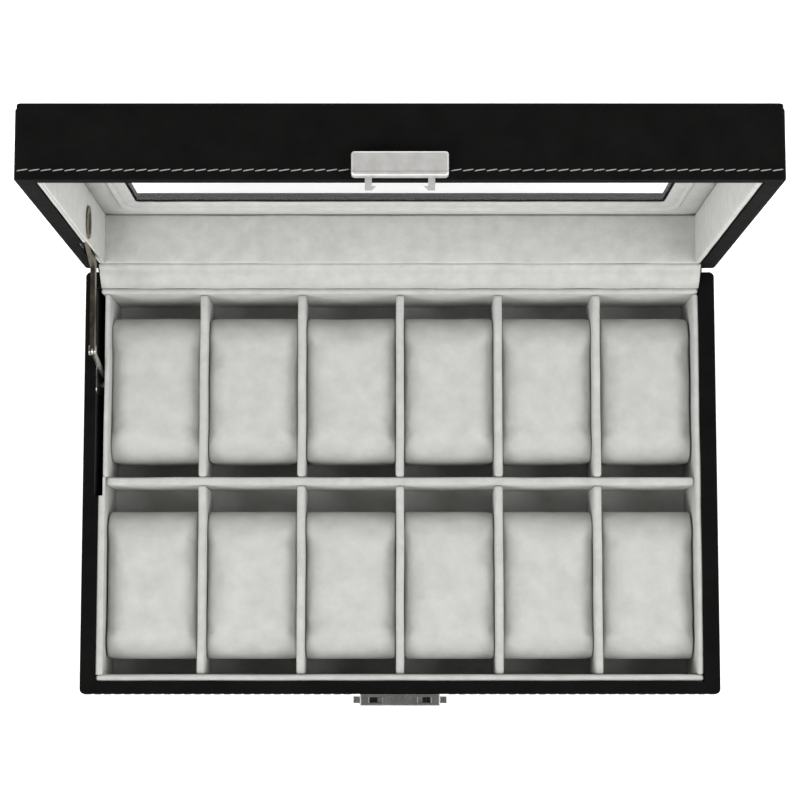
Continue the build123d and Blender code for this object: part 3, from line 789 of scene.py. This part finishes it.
def make_stitching():
    """Thread rows round the rims of the base and the lid, and along the spine's two edges."""
    low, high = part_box("base_leather")
    lid_low, lid_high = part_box("lid_leather")
    hasp_low, hasp_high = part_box("hasp_plate")
    spine_low, spine_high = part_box("hinge_spine")
    lock_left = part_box("lock_button_left")[0].x - METAL_GAP
    lock_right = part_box("lock_button_right")[1].x + METAL_GAP
    left, right = low.x + FRONT_ROOM, high.x - FRONT_ROOM
    spine_left, spine_right = spine_low.x + SPINE_ROOM, spine_high.x - SPINE_ROOM

    z = high.z - RIM_DROP
    side_start, side_end = low.y + CORNER_ROOM, high.y - CORNER_ROOM
    spine_y, spine_z = high.y + SPINE_T, spine_low.z + SPINE_EDGE
    base_rows = (
        ((left, low.y, z), (lock_left, low.y, z), -BACK, UP),
        ((lock_right, low.y, z), (right, low.y, z), -BACK, UP),
        ((low.x, side_start, z), (low.x, side_end, z), -RIGHT, UP),
        ((high.x, side_start, z), (high.x, side_end, z), RIGHT, UP),
        ((spine_left, spine_y, spine_z), (spine_right, spine_y, spine_z), BACK, UP),
    )
    add_thread("base_stitching", base_rows, "base")

    y, top = lid_low.y + RIM_DROP, lid_high.z
    side_start, side_end = lid_low.z + CORNER_ROOM, top - CORNER_ROOM
    spine_y, spine_z = spine_high.y - SPINE_EDGE, lid_low.z - SPINE_T
    lid_rows = (
        ((left, y, top), (hasp_low.x - METAL_GAP, y, top), UP, BACK),
        ((hasp_high.x + METAL_GAP, y, top), (right, y, top), UP, BACK),
        ((lid_low.x, y, side_start), (lid_low.x, y, side_end), -RIGHT, BACK),
        ((lid_high.x, y, side_start), (lid_high.x, y, side_end), RIGHT, BACK),
        ((spine_left, spine_y, spine_z), (spine_right, spine_y, spine_z), -UP, BACK),
    )
    add_thread("lid_stitching", lid_rows, "lid")


make_stitching()


def press_springs():
    """The two lock springs, each a copy of its CAD mesh in a piece of its own that stands in for the
    node.
    """
    for side in ("left", "right"):
        name = f"lock_spring_{side}"
        coil = bpy.data.objects.new(f"coil_{side}", NODES[name].data.copy())
        bpy.context.scene.collection.objects.link(coil)
        stand_for(coil, name)
        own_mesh(coil)


press_springs()

METAL_EDGE = 0.12 * MM
METALS = (
    "stay_arm",
    "stay_link",
    "stay_elbow_rivet",
    "stay_base_bracket",
    "stay_lid_plate",
    "hasp_plate",
    "lock_housing",
    "lock_button_left",
    "lock_button_right",
)
for name in METALS:
    bevel = NODES[name].modifiers.new("edge", "BEVEL")
    bevel.width = METAL_EDGE
    bevel.segments = 2
    bevel.limit_method = "ANGLE"
    bevel.angle_limit = math.radians(40)


# ---------------------------------------------------------------- camera, light, floor
def build_stage():
    """Pale floor, white surroundings that are dark overhead, soft lamps."""
    bpy.ops.mesh.primitive_plane_add(size=8.0, location=(0, 0, 0))
    floor = bpy.context.object
    floor.name = "floor"
    material, tree, shader = new_material("pale_floor")
    shader.inputs["Base Color"].default_value = (0.95, 0.95, 0.95, 1.0)
    shader.inputs["Roughness"].default_value = 0.9
    shader.inputs["Specular IOR Level"].default_value = 0.1
    shader.inputs["Emission Color"].default_value = (1.0, 1.0, 1.0, 1.0)
    shader.inputs["Emission Strength"].default_value = 0.36
    floor.data.materials.append(material)

    world = bpy.data.worlds.new("studio")
    world.use_nodes = True
    tree = world.node_tree
    direction = tree.nodes.new("ShaderNodeTexCoord").outputs["Generated"]
    split = tree.nodes.new("ShaderNodeSeparateXYZ")
    tree.links.new(direction, split.inputs["Vector"])
    white, dark = (1.0, 1.0, 1.0), (0.03, 0.03, 0.03)
    sky = ramp_node(tree, split.outputs["Z"], [(0.0, white), (0.84, white), (0.95, dark)])
    tree.links.new(sky, tree.nodes["Background"].inputs["Color"])
    tree.nodes["Background"].inputs["Strength"].default_value = 1.06
    bpy.context.scene.world = world

    for name, place, size, power in (
        ("key_light", (-0.9, -1.0, 1.4), 1.1, 20.0),
        ("fill_light", (1.2, -0.5, 1.2), 1.1, 15.0),
        ("back_light", (0.2, 1.3, 0.55), 1.0, 5.0),
    ):
        lamp = bpy.data.lights.new(name, "AREA")
        lamp.size = size
        lamp.energy = power
        obj = bpy.data.objects.new(name, lamp)
        obj.location = place
        aim = Vector((0, 0.03, 0.05)) - Vector(place)
        obj.rotation_euler = aim.to_track_quat("-Z", "Y").to_euler()
        bpy.context.scene.collection.objects.link(obj)


def build_camera():
    """High above the front edge, tipped a few degrees back."""
    camera = bpy.data.cameras.new("camera")
    camera.sensor_width = 36.0
    camera.lens = 99.6
    camera.clip_start = 0.05
    obj = bpy.data.objects.new("camera", camera)
    obj.location = (0.0, -0.0804, 1.0927)
    obj.rotation_euler = (math.radians(6.494), 0.0, 0.0)
    bpy.context.scene.collection.objects.link(obj)
    bpy.context.scene.camera = obj


build_stage()
build_camera()
bpy.context.scene.view_settings.view_transform = "Standard"
